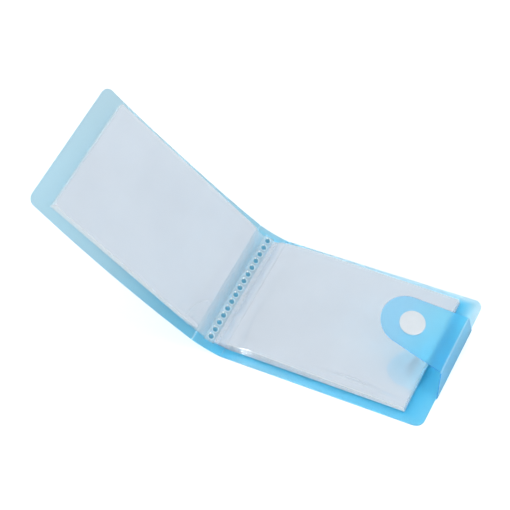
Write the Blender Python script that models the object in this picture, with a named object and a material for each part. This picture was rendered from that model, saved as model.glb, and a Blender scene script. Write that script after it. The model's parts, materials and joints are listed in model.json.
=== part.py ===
"""Business card album: a creased sheet cover with a snap flap, and welded film pockets in its spine.

The model is in metres, +Z up. Its origin is the centre of the back cover's underside, +X runs from
the spine to the fore edge and +Y runs along the spine. The album lies open at the centre spread.
"""

import math

import bmesh
import bpy
from mathutils import Vector

# Cover sheet
COVER_WIDTH = 0.104
FRONT_SHORTER = 0.0003
COVER_HEIGHT = 0.070
SPINE_WIDTH = 0.016
SHEET = 0.0005
CORNER_RADIUS = 0.004
CREASE_SETBACK = 0.0002

# How the open cover lies: slopes against the table, in degrees, at both ends of each bent panel
SPINE_SLOPES = (15.0, 40.0)
FRONT_SLOPES = (46.0, 59.5)

# Closing flap
FLAP_ROOM = 0.0022
FLAP_BASE = 0.0385
FLAP_FOLD = 0.030
TONGUE_LENGTH = 0.0355
TONGUE_END_RADIUS = 0.0118
WALL_LEAN = 8.0
TONGUE_RISE = 20.0

# Press snap
SNAP_FROM_FOLD = 0.021
SNAP_CAP_RADIUS = 0.0061
SNAP_CAP_THICKNESS = 0.0012
SNAP_RING_RADIUS = 0.0053
SNAP_POST_RADIUS = 0.0013
SNAP_HEAD_RADIUS = 0.0019
SNAP_HEAD_THICKNESS = 0.0004
SOCKET_HEIGHT = 0.0026
SOCKET_FLOOR = 0.0007
STUD_PLATE = 0.0009
STUD_KNOB_RADIUS = 0.0022
STUD_KNOB_HEIGHT = 0.0011
SNAP_PLAY = 0.0003

# Film pockets
LEAVES = 6
FILM = 0.00008
CARD_SLOT = 0.00032
SEAM_WIDTH = 0.0015
SEAM_GAP = 0.00005
LEAF_PITCH = 0.0006
LEFT_SPLAY = 0.0002
RIGHT_SPLAY = 0.0007
LEAF_FROM_CREASE = 0.0024
LEFT_STAGGER = 0.00075
LIP_SETBACK = 0.001
LIP_RADIUS = 0.003
LEAF_MARGIN_FORE = 0.0105
LEAF_MARGIN_ENDS = 0.0045
STACK_LIFT = 0.0005

# Binding strip, fused film and spot welds
STRIP_WIDTH = 0.010
STRIP_THICKNESS = 0.0016
STRIP_OVERHANG = 0.0006
FUSED_WIDTH = 0.0008
WELDS = 15
WELD_RADIUS = 0.0011
WELD_END_MARGIN = 0.001
WELD_RECESS = 0.0006

# Gap that touching pieces keep, and how finely round forms are divided
GAP = 0.0003
BOW_STEPS = 10
CORNER_STEPS = 5
ROUND_SIDES = 32
WELD_SIDES = 20
ROOT_STEPS = 6
RIM_STEPS = 6
TONGUE_STEPS = 20
TONGUE_LAST_TURN = 84.0
CREASE_TURNS = (20.0, 50.0, 90.0)
SMOOTH_ANGLE = 40.0

# Colours
COVER_BLUE = (0.16, 0.52, 0.78, 0.55)
FILM_CLEAR = (0.80, 0.86, 0.91, 0.35)
SNAP_WHITE = (0.86, 0.89, 0.93, 1.0)


# Tools


def make_material(name, colour, roughness):
    """A plain plastic of one colour."""
    material = bpy.data.materials.new(name)
    material.use_nodes = True
    shader = material.node_tree.nodes["Principled BSDF"]
    shader.inputs["Base Color"].default_value = colour
    shader.inputs["Alpha"].default_value = colour[3]
    shader.inputs["Roughness"].default_value = roughness
    shader.inputs["Metallic"].default_value = 0.0
    return material


def add_object(name, bm, pivot, material, smooth=False):
    """Make a mesh object from world space geometry, with its origin at the pivot."""
    bmesh.ops.recalc_face_normals(bm, faces=bm.faces)
    bmesh.ops.translate(bm, verts=bm.verts, vec=-pivot)
    mesh = bpy.data.meshes.new(name)
    bm.to_mesh(mesh)
    bm.free()
    mesh.materials.append(material)
    if smooth:
        mesh.shade_smooth()
        mesh.set_sharp_from_angle(angle=math.radians(SMOOTH_ANGLE))
    piece = bpy.data.objects.new(name, mesh)
    piece.location = pivot
    bpy.context.scene.collection.objects.link(piece)
    return piece


def line_path(start, angle, side):
    """A straight run in the XZ plane. place(u, w) lies u along it and w towards its inner side."""
    along = Vector((math.cos(angle), 0.0, math.sin(angle)))
    inward = Vector((-along.z, 0.0, along.x)) * side

    def place(u, w=0.0):
        return start + along * u + inward * w

    return place


def arc_path(start, first, last, length, side):
    """An even bend in the XZ plane, from the direction first to the direction last over length."""

    def place(u, w=0.0):
        half_turn = (last - first) * u / length / 2
        chord = u * math.sin(half_turn) / half_turn if half_turn else u
        middle = first + half_turn
        end = middle + half_turn
        along = Vector((math.cos(middle), 0.0, math.sin(middle)))
        inward = Vector((-math.sin(end), 0.0, math.cos(end))) * side
        return start + along * chord + inward * w

    return place


def prism(outline, sweep):
    """The solid that a flat outline makes when it is moved along sweep."""
    bm = bmesh.new()
    face = bm.faces.new([bm.verts.new(point) for point in outline])
    grown = bmesh.ops.extrude_face_region(bm, geom=[face])
    moved = [item for item in grown["geom"] if isinstance(item, bmesh.types.BMVert)]
    bmesh.ops.translate(bm, verts=moved, vec=sweep)
    return bm


def sheet_solid(places, path, height_at, thickness_at):
    """A sheet whose half height and half thickness follow the distance along its path."""
    bm = bmesh.new()
    rings = []
    for u in places:
        rise = Vector((0.0, height_at(u), 0.0))
        low = path(u, -thickness_at(u))
        high = path(u, thickness_at(u))
        corners = (low - rise, low + rise, high + rise, high - rise)
        rings.append([bm.verts.new(corner) for corner in corners])
    for ring, following in zip(rings, rings[1:]):
        for k in range(4):
            bm.faces.new((ring[k - 1], ring[k], following[k], following[k - 1]))
    bm.faces.new(rings[0])
    bm.faces.new(rings[-1])
    return bm


def crease_places(edge, inward):
    """Distances along a panel that round off its sheet at a crease, from the edge inwards."""
    radius = SHEET / 2
    return [edge + inward * radius * (1 - math.cos(math.radians(angle))) for angle in CREASE_TURNS]


def panel_thickness(creases):
    """Half the sheet's thickness, rounded off towards each crease edge."""
    radius = SHEET / 2

    def thickness_at(u):
        inside = min(abs(u - edge) for edge in creases)
        if inside >= radius:
            return radius
        return math.sqrt(radius**2 - (radius - inside) ** 2)

    return thickness_at


def rounded_places(end, radius):
    """Distances that follow the rounded corners at a panel's end."""
    quarter = [math.pi / 2 * k / CORNER_STEPS for k in range(CORNER_STEPS + 1)]
    return [end - radius + radius * math.sin(turn) for turn in quarter]


def rounded_height(half_height, end, radius):
    """Half the height of a panel whose corners at its far end are rounded."""

    def height_at(u):
        past = max(0.0, u - (end - radius))
        return half_height - radius + math.sqrt(max(radius**2 - past**2, 0.0))

    return height_at


def even_places(start, end, steps):
    """Evenly spaced distances, without the two ends."""
    return [start + (end - start) * k / steps for k in range(1, steps)]


def turned(profile, seat, axis, sides, closed):
    """A profile of (radius, height) points turned about an axis that rises from the seat."""
    bm = bmesh.new()
    rings = []
    for radius, height in profile:
        count = sides if radius > 0 else 1
        turns = [2 * math.pi * k / count for k in range(count)]
        rings.append([bm.verts.new((radius * math.cos(t), radius * math.sin(t), height)) for t in turns])
    pairs = list(zip(rings, rings[1:]))
    if closed:
        pairs.append((rings[-1], rings[0]))
    for ring, following in pairs:
        for k in range(sides):
            around = (ring[k - 1], ring[k]) if len(ring) > 1 else (ring[0],)
            back = (following[k], following[k - 1]) if len(following) > 1 else (following[0],)
            bm.faces.new(around + back)
    upright = Vector((0.0, 0.0, 1.0)).rotation_difference(axis).to_matrix()
    bmesh.ops.rotate(bm, verts=bm.verts, cent=(0.0, 0.0, 0.0), matrix=upright)
    bmesh.ops.translate(bm, verts=bm.verts, vec=seat)
    return bm


def rod_row(centres, axis, low, high, radius, sides):
    """Separate round rods of one size, each running from low to high along the axis at its centre."""
    row = bmesh.new()
    for centre in centres:
        profile = [(0.0, low), (radius, low), (radius, high), (0.0, high)]
        rod = turned(profile, centre, axis, sides, closed=False)
        bmesh.ops.recalc_face_normals(rod, faces=rod.faces)
        mesh = bpy.data.meshes.new("rod")
        rod.to_mesh(mesh)
        rod.free()
        row.from_mesh(mesh)
        bpy.data.meshes.remove(mesh)
    return row


def add_boolean(piece, tool, operation):
    """Cut a piece by a tool, or join the tool to it. The tool itself is only a guide."""
    tool.hide_render = True
    tool.display_type = "WIRE"
    step = piece.modifiers.new(tool.name, "BOOLEAN")
    step.operation = operation
    step.object = tool


# Where everything lies


HALF_HEIGHT = COVER_HEIGHT / 2
FRONT_WIDTH = COVER_WIDTH - FRONT_SHORTER
WALL_HEIGHT = SPINE_WIDTH + FLAP_ROOM
BACK_CREASE = Vector((-COVER_WIDTH / 2, 0.0, SHEET / 2))
FLAP_CREASE = BACK_CREASE + Vector((COVER_WIDTH, 0.0, 0.0))
back_path = line_path(BACK_CREASE, 0.0, 1)
spine_path = arc_path(BACK_CREASE, *[math.pi - math.radians(s) for s in SPINE_SLOPES], SPINE_WIDTH, -1)
FRONT_CREASE = spine_path(SPINE_WIDTH)
front_path = arc_path(FRONT_CREASE, *[math.pi - math.radians(s) for s in FRONT_SLOPES], FRONT_WIDTH, -1)
wall_path = line_path(FLAP_CREASE, math.radians(90 - WALL_LEAN), 1)
TONGUE_CREASE = wall_path(WALL_HEIGHT)
tongue_path = line_path(TONGUE_CREASE, math.radians(180 - TONGUE_RISE), 1)

front_chord = front_path(FRONT_WIDTH) - FRONT_CREASE
CHORD_ANGLE = math.atan2(front_chord.z, front_chord.x)
leaf_half = HALF_HEIGHT - LEAF_MARGIN_ENDS
leaf_end = COVER_WIDTH - LEAF_MARGIN_FORE
first_film = SHEET / 2 + STACK_LIFT + FILM / 2
strip_low = SHEET / 2 + GAP
strip_high = strip_low + STRIP_THICKNESS
strip_start = (SPINE_WIDTH - STRIP_WIDTH) / 2
strip_end = strip_start + STRIP_WIDTH
strip_half = leaf_half + STRIP_OVERHANG
weld_span = 2 * (strip_half - WELD_END_MARGIN - WELD_RADIUS)
snap_hole = SNAP_POST_RADIUS + GAP


# Cover


def build_back_cover(material):
    """The panel that lies on the table, creased at the spine and at the flap."""
    start = CREASE_SETBACK
    end = COVER_WIDTH - CREASE_SETBACK
    corners = rounded_places(end, CORNER_RADIUS)
    places = sorted(set(crease_places(start, 1) + corners[:-1] + crease_places(end, -1)))
    height_at = rounded_height(HALF_HEIGHT, end, CORNER_RADIUS)
    bm = sheet_solid(places, back_path, height_at, panel_thickness((start, end)))
    add_object("back_cover", bm, BACK_CREASE, material)


def build_spine(material):
    """The bent panel between the two creases, with the weld pips that hold the binding strip."""
    start = CREASE_SETBACK
    end = SPINE_WIDTH - CREASE_SETBACK
    places = crease_places(start, 1) + even_places(start, end, BOW_STEPS) + crease_places(end, -1)[::-1]
    bm = sheet_solid(places, spine_path, lambda u: HALF_HEIGHT, panel_thickness((start, end)))
    spine = add_object("spine_panel", bm, BACK_CREASE, material)
    pips = rod_row(weld_centres(), weld_axis(), -SHEET / 4, strip_high - WELD_RECESS, WELD_RADIUS, WELD_SIDES)
    add_boolean(spine, add_object("weld_pips", pips, BACK_CREASE, material), "UNION")


def build_front_cover(material):
    """The raised panel, bowed along its width, with the hole for the stud's post."""
    start = CREASE_SETBACK
    corners = rounded_places(FRONT_WIDTH, CORNER_RADIUS)
    bow = even_places(start, corners[0], BOW_STEPS)
    height_at = rounded_height(HALF_HEIGHT, FRONT_WIDTH, CORNER_RADIUS)
    thickness_at = panel_thickness((start,))
    bm = sheet_solid(crease_places(start, 1) + bow + corners, front_path, height_at, thickness_at)
    cover = add_object("front_cover", bm, FRONT_CREASE, material)
    seat, axis = stud_seat()
    hole = rod_row([seat], axis, -2 * SHEET, 2 * SHEET, snap_hole, ROUND_SIDES)
    add_boolean(cover, add_object("stud_post_hole", hole, FRONT_CREASE, material), "DIFFERENCE")


def build_flap_wall(material):
    """The tapering wall that stands up from the back cover's fore edge."""
    start = CREASE_SETBACK
    end = WALL_HEIGHT - CREASE_SETBACK

    def height_at(u):
        return FLAP_BASE / 2 + (FLAP_FOLD - FLAP_BASE) / 2 * u / WALL_HEIGHT

    places = crease_places(start, 1) + crease_places(end, -1)[::-1]
    bm = sheet_solid(places, wall_path, height_at, panel_thickness((start, end)))
    add_object("flap_wall", bm, FLAP_CREASE, material)


def build_flap_tongue(material):
    """The tongue: straight sides that run smoothly into a round end, with the hole for the cap's post."""
    start = CREASE_SETBACK
    centre = TONGUE_LENGTH - TONGUE_END_RADIUS
    reach = math.hypot(centre, FLAP_FOLD / 2)
    lean = math.asin(TONGUE_END_RADIUS / reach) - math.atan2(FLAP_FOLD / 2, centre)
    tangent = centre + TONGUE_END_RADIUS * math.sin(-lean)
    tangent_half = TONGUE_END_RADIUS * math.cos(lean)

    def height_at(u):
        if u <= tangent:
            return FLAP_FOLD / 2 + (tangent_half - FLAP_FOLD / 2) * u / tangent
        return math.sqrt(max(TONGUE_END_RADIUS**2 - (u - centre) ** 2, 0.0))

    first_turn = -lean
    last_turn = math.radians(TONGUE_LAST_TURN)
    turns = [first_turn + (last_turn - first_turn) * k / TONGUE_STEPS for k in range(TONGUE_STEPS + 1)]
    places = crease_places(start, 1) + [centre + TONGUE_END_RADIUS * math.sin(turn) for turn in turns]
    bm = sheet_solid(places, tongue_path, height_at, panel_thickness((start,)))
    tongue = add_object("flap_tongue", bm, TONGUE_CREASE, material)
    seat, axis = socket_seat()
    hole = rod_row([seat], axis, -2 * SHEET, 2 * SHEET, snap_hole, ROUND_SIDES)
    add_boolean(tongue, add_object("cap_post_hole", hole, TONGUE_CREASE, material), "DIFFERENCE")


# Press snap


def socket_seat():
    """The snap's point on the tongue's middle plane, and the way its socket faces."""
    seat = tongue_path(SNAP_FROM_FOLD)
    return seat, (tongue_path(SNAP_FROM_FOLD, 1.0) - seat).normalized()


def stud_seat():
    """The snap's point on the front cover's middle plane, and the way its stud faces."""
    along = COVER_WIDTH - SNAP_FROM_FOLD
    seat = front_path(along)
    return seat, (front_path(along, -1.0) - seat).normalized()


def cap_profile(post_end, head):
    """A cap with a rounded rim, whose post runs through the sheet, from the cap's top downwards."""
    under = -SHEET / 2 - GAP
    top = under - SNAP_CAP_THICKNESS
    rim = SNAP_CAP_THICKNESS / 2
    turns = [math.pi * k / RIM_STEPS for k in range(RIM_STEPS + 1)]
    edge = [(SNAP_CAP_RADIUS - rim + rim * math.sin(t), under - rim - rim * math.cos(t)) for t in turns]
    post = [(SNAP_POST_RADIUS, under), (SNAP_POST_RADIUS, post_end)]
    if head:
        post[1] = (SNAP_POST_RADIUS, post_end - SNAP_HEAD_THICKNESS)
        post += [(SNAP_HEAD_RADIUS, post_end - SNAP_HEAD_THICKNESS), (SNAP_HEAD_RADIUS, post_end)]
    return [(0.0, top)] + edge + post + [(0.0, post_end)]


def build_flap_snap(material):
    """The cap on the tongue's outer face and the socket that its post holds under the tongue."""
    seat, axis = socket_seat()
    base = SHEET / 2 + GAP
    floor = base + SOCKET_FLOOR
    mouth = base + SOCKET_HEIGHT
    head_end = floor + GAP + SNAP_HEAD_THICKNESS
    bore = STUD_KNOB_RADIUS + SNAP_PLAY
    groove = bore + SNAP_PLAY
    cap = turned(cap_profile(head_end, True), seat, axis, ROUND_SIDES, closed=False)
    add_object("snap_cap_flap", cap, TONGUE_CREASE, material, smooth=True)
    ring = [
        (snap_hole, base),
        (SNAP_RING_RADIUS, base),
        (SNAP_RING_RADIUS, mouth - 2 * SNAP_PLAY),
        (SNAP_RING_RADIUS - 2 * SNAP_PLAY, mouth),
        (bore, mouth),
        (bore, mouth - SNAP_PLAY),
        (groove, mouth - 2 * SNAP_PLAY),
        (groove, floor),
        (snap_hole, floor),
    ]
    socket = turned(ring, seat, axis, ROUND_SIDES, closed=True)
    add_object("snap_socket", socket, TONGUE_CREASE, material, smooth=True)


def build_cover_snap(material):
    """The stud on the front cover's outer face and the cap inside whose post holds it."""
    seat, axis = stud_seat()
    base = SHEET / 2 + GAP
    plate = base + STUD_PLATE
    knob = plate + STUD_KNOB_HEIGHT
    cap = turned(cap_profile(knob - GAP, False), seat, axis, ROUND_SIDES, closed=False)
    add_object("snap_cap_cover", cap, FRONT_CREASE, material, smooth=True)
    ring = [
        (snap_hole, base),
        (SNAP_RING_RADIUS, base),
        (SNAP_RING_RADIUS, plate - STUD_PLATE / 3),
        (SNAP_RING_RADIUS - STUD_PLATE / 3, plate),
        (STUD_KNOB_RADIUS - SNAP_PLAY / 2, plate),
        (STUD_KNOB_RADIUS, plate + STUD_KNOB_HEIGHT / 2),
        (STUD_KNOB_RADIUS, knob - SNAP_PLAY),
        (STUD_KNOB_RADIUS - SNAP_PLAY, knob),
        (snap_hole, knob),
    ]
    stud = turned(ring, seat, axis, ROUND_SIDES, closed=True)
    add_object("snap_stud", stud, FRONT_CREASE, material, smooth=True)


# Binding


def weld_centres():
    """Points on the spine's middle line, one for each spot weld."""
    middle = spine_path(SPINE_WIDTH / 2)
    pitch = weld_span / (WELDS - 1)
    return [middle + Vector((0.0, pitch * k - weld_span / 2, 0.0)) for k in range(WELDS)]


def weld_axis():
    """The way the spine's inner face points at the row of welds."""
    return (spine_path(SPINE_WIDTH / 2, 1.0) - spine_path(SPINE_WIDTH / 2)).normalized()


def build_binding_strip(material):
    """The films' gutter, fused to one strip along the spine and pierced by the welds."""

    def strip_path(u, w=0.0):
        return spine_path(u, w + (strip_low + strip_high) / 2)

    places = [strip_start] + even_places(strip_start, strip_end, BOW_STEPS) + [strip_end]
    bm = sheet_solid(places, strip_path, lambda u: strip_half, lambda u: STRIP_THICKNESS / 2)
    strip = add_object("binding_strip", bm, BACK_CREASE, material)
    holes = rod_row(weld_centres(), weld_axis(), 0.0, 2 * strip_high, WELD_RADIUS + GAP, WELD_SIDES)
    add_boolean(strip, add_object("weld_holes", holes, BACK_CREASE, material), "DIFFERENCE")


def root_film(start, lead, end, arrive):
    """Points of the two faces of one film that leaves the fused strip and runs to its leaf."""
    reach = (end - start).length / 2
    faces = ([], [])
    for k in range(ROOT_STEPS + 1):
        t = k / ROOT_STEPS
        a, b, c, d = start, start + lead * reach, end - arrive * reach, end
        point = a * (1 - t) ** 3 + b * (3 * t * (1 - t) ** 2) + c * (3 * t**2 * (1 - t)) + d * t**3
        tangent = ((b - a) * (1 - t) ** 2 + (c - b) * (2 * t * (1 - t)) + (d - c) * t**2).normalized()
        across = Vector((-tangent.z, 0.0, tangent.x)) * (FILM / 2)
        faces[0].append(point + across)
        faces[1].append(point - across)
    return faces


def build_film_roots(name, edge, outward, side, material):
    """The loose film between the binding strip and one stack: fused at the strip, open at the leaves."""
    fused = edge + outward * GAP
    free = fused + outward * FUSED_WIDTH
    lead = (spine_path(free + outward * FILM) - spine_path(free)).normalized()
    outline = [spine_path(fused, strip_high), spine_path(fused, strip_low)]
    outline.append(spine_path(free, strip_low))
    for rank in range(LEAVES):
        level = strip_low + STRIP_THICKNESS * (rank + 0.5) / LEAVES
        leaf_path, root = leaf_place(side, rank)
        arrive = (leaf_path(1.0) - leaf_path(0.0)).normalized()
        upper, lower = root_film(spine_path(free, level), lead, leaf_path(root - GAP), arrive)
        if side == "left":
            upper, lower = lower, upper
        outline += lower + upper[::-1]
    outline.append(spine_path(free, strip_high))
    sweep = Vector((0.0, 2 * leaf_half, 0.0))
    bm = prism([point - sweep / 2 for point in outline], sweep)
    add_object(name, bm, spine_path(SPINE_WIDTH / 2 + outward * SPINE_WIDTH / 2), material)


# Pocket leaves


def leaf_place(side, rank):
    """The path of a leaf's back film and the distance where it starts. Rank 0 lies next to the cover."""
    if side == "right":
        start = back_path(0.0, first_film + (LEAF_PITCH + RIGHT_SPLAY) * rank)
        return line_path(start, -RIGHT_SPLAY * rank / leaf_end, 1), LEAF_FROM_CREASE
    lift = first_film + LEAF_PITCH * rank
    tilt = LEFT_SPLAY * rank / leaf_end
    start = line_path(FRONT_CREASE, CHORD_ANGLE, -1)(0.0, lift)
    root = LEAF_FROM_CREASE + LEFT_STAGGER * (LEAVES - 1 - rank)
    return line_path(start, CHORD_ANGLE - tilt, -1), root


def build_leaf(side, rank, materials):
    """One pocket: a back film, a window film over it, and the heat-sealed rim that joins them."""
    path, root = leaf_place(side, rank)
    name = f"leaf_{side}_{LEAVES - rank:02d}"
    pivot = path(root)
    lip = root + LIP_SETBACK
    window_level = FILM + CARD_SLOT

    def window_path(u, w=0.0):
        return path(u, w + window_level)

    back = sheet_solid([root, leaf_end], path, lambda u: leaf_half, lambda u: FILM / 2)
    add_object(f"{name}_back", back, pivot, materials["film"])

    def lip_height(u):
        return rounded_height(leaf_half, -lip, LIP_RADIUS)(-u)

    places = [-u for u in reversed(rounded_places(-lip, LIP_RADIUS))] + [leaf_end]
    window = sheet_solid(places, window_path, lip_height, lambda u: FILM / 2)
    add_object(f"{name}_window", window, pivot, materials["film"])

    mouth = lip + LIP_RADIUS
    inner_end = leaf_end - SEAM_WIDTH
    inner = leaf_half - SEAM_WIDTH
    frame = [(mouth, -leaf_half), (leaf_end, -leaf_half), (leaf_end, leaf_half), (mouth, leaf_half)]
    frame += [(mouth, inner), (inner_end, inner), (inner_end, -inner), (mouth, -inner)]
    low = FILM / 2 + SEAM_GAP
    high = low + CARD_SLOT - 2 * SEAM_GAP
    outline = [path(u, low) + Vector((0.0, y, 0.0)) for u, y in frame]
    seam = prism(outline, path(0.0, high) - path(0.0, low))
    add_object(f"{name}_seam", seam, pivot, materials["seam"])


def main():
    """Build the album in an empty scene."""
    for old in list(bpy.data.objects):
        bpy.data.objects.remove(old)
    cover = make_material("cover_sheet", COVER_BLUE, 0.32)
    snap = make_material("snap_plastic", SNAP_WHITE, 0.4)
    film = make_material("pocket_film", FILM_CLEAR, 0.15)
    seam = make_material("welded_film", FILM_CLEAR, 0.25)
    build_back_cover(cover)
    build_spine(cover)
    build_front_cover(cover)
    build_flap_wall(cover)
    build_flap_tongue(cover)
    build_flap_snap(snap)
    build_cover_snap(snap)
    build_binding_strip(seam)
    build_film_roots("film_roots_left", strip_end, 1, "left", film)
    build_film_roots("film_roots_right", strip_start, -1, "right", film)
    for side in ("left", "right"):
        for rank in range(LEAVES):
            build_leaf(side, rank, {"film": film, "seam": seam})


main()
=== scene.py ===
"""Looks of a business card album: frosted blue sheet cover, clear film pockets and a white press snap.

The file is laid out as an add-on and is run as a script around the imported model.
"""

import json
import math

import bmesh
import bpy
from bpy.props import FloatProperty, FloatVectorProperty, IntProperty, PointerProperty
from mathutils import Matrix, Vector

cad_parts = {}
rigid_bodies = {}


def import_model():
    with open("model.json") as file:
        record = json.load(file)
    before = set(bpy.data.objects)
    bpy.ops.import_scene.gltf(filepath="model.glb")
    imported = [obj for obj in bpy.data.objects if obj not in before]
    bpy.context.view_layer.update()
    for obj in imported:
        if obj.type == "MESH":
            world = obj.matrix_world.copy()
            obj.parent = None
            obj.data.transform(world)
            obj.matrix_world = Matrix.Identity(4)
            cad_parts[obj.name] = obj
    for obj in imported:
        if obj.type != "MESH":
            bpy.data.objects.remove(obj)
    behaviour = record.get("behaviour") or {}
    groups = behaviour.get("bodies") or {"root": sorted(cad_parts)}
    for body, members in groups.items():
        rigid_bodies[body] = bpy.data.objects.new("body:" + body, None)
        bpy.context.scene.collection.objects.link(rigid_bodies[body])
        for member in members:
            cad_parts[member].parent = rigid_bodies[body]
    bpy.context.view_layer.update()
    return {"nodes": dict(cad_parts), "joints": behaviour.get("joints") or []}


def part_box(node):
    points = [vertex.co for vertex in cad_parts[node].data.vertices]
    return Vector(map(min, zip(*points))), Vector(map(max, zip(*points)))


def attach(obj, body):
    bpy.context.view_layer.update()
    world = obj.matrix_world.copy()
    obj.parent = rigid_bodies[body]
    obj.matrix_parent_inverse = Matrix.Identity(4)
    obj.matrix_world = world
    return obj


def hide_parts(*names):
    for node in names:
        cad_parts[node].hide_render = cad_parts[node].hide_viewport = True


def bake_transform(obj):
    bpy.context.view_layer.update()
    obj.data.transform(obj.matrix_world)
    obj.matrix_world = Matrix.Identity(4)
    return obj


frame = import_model()

bl_info = {
    "name": "Business Card Album",
    "version": (1, 0, 0),
    "blender": (4, 5, 0),
    "location": "3D View > Sidebar > Album",
    "description": "Builds the sheet cover, film pockets, binding and snap of a card album",
    "category": "Object",
}

MM = 0.001

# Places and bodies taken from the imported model

PIVOTS = {joint["name"]: Vector(joint["pos_m"]) for joint in frame["joints"]}
BACK_CREASE = PIVOTS["spine_fold"]
FRONT_CREASE = PIVOTS["cover_fold"]
FLAP_CREASE = PIVOTS["flap_fold"]
TONGUE_CREASE = PIVOTS["tongue_fold"]
COVER_WIDTH = FLAP_CREASE.x - BACK_CREASE.x
HALF_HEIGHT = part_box("back_cover")[1].y
LEAF_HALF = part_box("leaf_right_01_back")[1].y
LEAF_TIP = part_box("leaf_right_01_back")[1].x
STRIP_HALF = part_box("binding_strip")[1].y
LEAVES = sum(1 for name in PIVOTS if name.startswith("right_leaf"))
WALL_ANGLE = math.atan2(TONGUE_CREASE.z - FLAP_CREASE.z, TONGUE_CREASE.x - FLAP_CREASE.x)
WALL_HEIGHT = (TONGUE_CREASE - FLAP_CREASE).length
BODIES = {
    "back": "back_cover_body",
    "spine": "spine_body",
    "front": "front_cover_body",
    "wall": "flap_wall_body",
    "tongue": "flap_tongue_body",
}

# Steps of the meshes, and the angles in degrees up to which they are shaded smooth

COLUMNS = 48
BACK_STEPS, SPINE_STEPS, FRONT_STEPS, WALL_STEPS = 48, 24, 60, 4
CORNER_STEPS, TONGUE_STEPS, CREASE_STEPS = 10, 40, 12
FILM_STEPS, WINDOW_STEPS, MOUTH_STEPS, ACROSS_STEPS = 24, 22, 8, 7
STRIP_STEPS, STRIP_COLUMNS = 310, 50
ROOT_STEPS, ROOT_COLUMNS = 16, 90
CROWN_STEPS, RIM_STEPS, BEAD_STEPS, TIP_STEPS = 8, 7, 16, 6
CAP_SIDES, WELD_SIDES, TIP_SIDES = 72, 36, 20
EDGE_ANGLE, SOFT_ANGLE, ROUND_ANGLE = 40.0, 50.0, 60.0


# Settings


def a_length(name, description, default):
    """A length to set in the sidebar."""
    return FloatProperty(name=name, description=description, default=default, unit="LENGTH")


def an_angle(name, description, degrees):
    """An angle to set in the sidebar."""
    return FloatProperty(name=name, description=description, default=math.radians(degrees), subtype="ANGLE")


def a_share(name, description, default):
    """A part of one to set in the sidebar."""
    return FloatProperty(name=name, description=description, default=default, min=0, max=1, subtype="FACTOR")


def a_power(name, description, watts):
    """A lamp's power to set in the sidebar."""
    return FloatProperty(name=name, description=description, default=watts, min=0, unit="POWER")


def a_colour(name, description, default):
    """A colour to set in the sidebar."""
    return FloatVectorProperty(
        name=name, description=description, default=default, subtype="COLOR", size=3, min=0, max=1
    )


class CoverSettings(bpy.types.PropertyGroup):
    """Sizes and colours of the creased sheet cover."""

    sheet: a_length("Sheet", "Thickness of the sheet", 0.5 * MM)
    spine_width: a_length("Spine", "Spine, measured along its bend", 16 * MM)
    front_shorter: a_length("Front setback", "How much narrower the front is", 0.3 * MM)
    corner: a_length("Corner", "Corner radius", 4 * MM)
    crease: a_length("Crease", "Half the width of a coined crease", 0.45 * MM)
    coined: a_length("Coined", "Sheet left at the bottom of a crease", 0.3 * MM)
    spine_slope_start: an_angle("Spine start", "Spine's slope at the back crease", 15)
    spine_slope_end: an_angle("Spine end", "Spine's slope at the front crease", 40)
    front_slope_start: an_angle("Front start", "Front's slope at the front crease", 46)
    front_slope_end: an_angle("Front end", "Front's slope at its fore edge", 59.5)
    tongue_rise: an_angle("Tongue rise", "Slope of the tongue", 20)
    flap_base: a_length("Flap base", "Width of the flap at the cover", 38.5 * MM)
    flap_fold: a_length("Flap fold", "Width of the flap at its fold", 30 * MM)
    tongue_length: a_length("Tongue", "Tongue from its fold to its tip", 35.5 * MM)
    tongue_radius: a_length("Tongue end", "Radius of the round end", 11.8 * MM)
    # The sheet runs from its deep colour, painted shade where the stack and the tongue shade it, to its pale
    # colour, painted light at the rims and on the raised front.
    tint: a_colour("Sheet colour", "Light through the sheet", (0.27, 0.745, 0.93))
    painted_light_tint: a_colour("Pale colour", "Light through the sheet where it is palest", (0.83, 0.96, 1.0))
    # The flap is deep near the tongue's fold, where it lies over the cover, and pale towards the tongue's
    # end, over the page: painted light and shade.
    flap_tint: a_colour("Flap colour", "Light through the flap", (0.29, 0.84, 1.0))
    tongue_painted_light_tint: a_colour("Tongue colour", "Light through the tongue's end", (0.435, 0.805, 1.0))
    edge_tint: a_colour("Edge colour", "The flap's cut edge", (0.10, 0.46, 0.86))
    rim_tint: a_colour("Rim colour", "The covers' cut edge and plain creases", (0.45, 0.80, 0.96))
    weld_tint: a_colour("Weld colour", "Sheet squeezed up in a weld", (0.09, 0.37, 0.56))
    crease_tint: a_colour("Crease colour", "Creases that show pale", (0.58, 0.86, 0.99))


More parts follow.
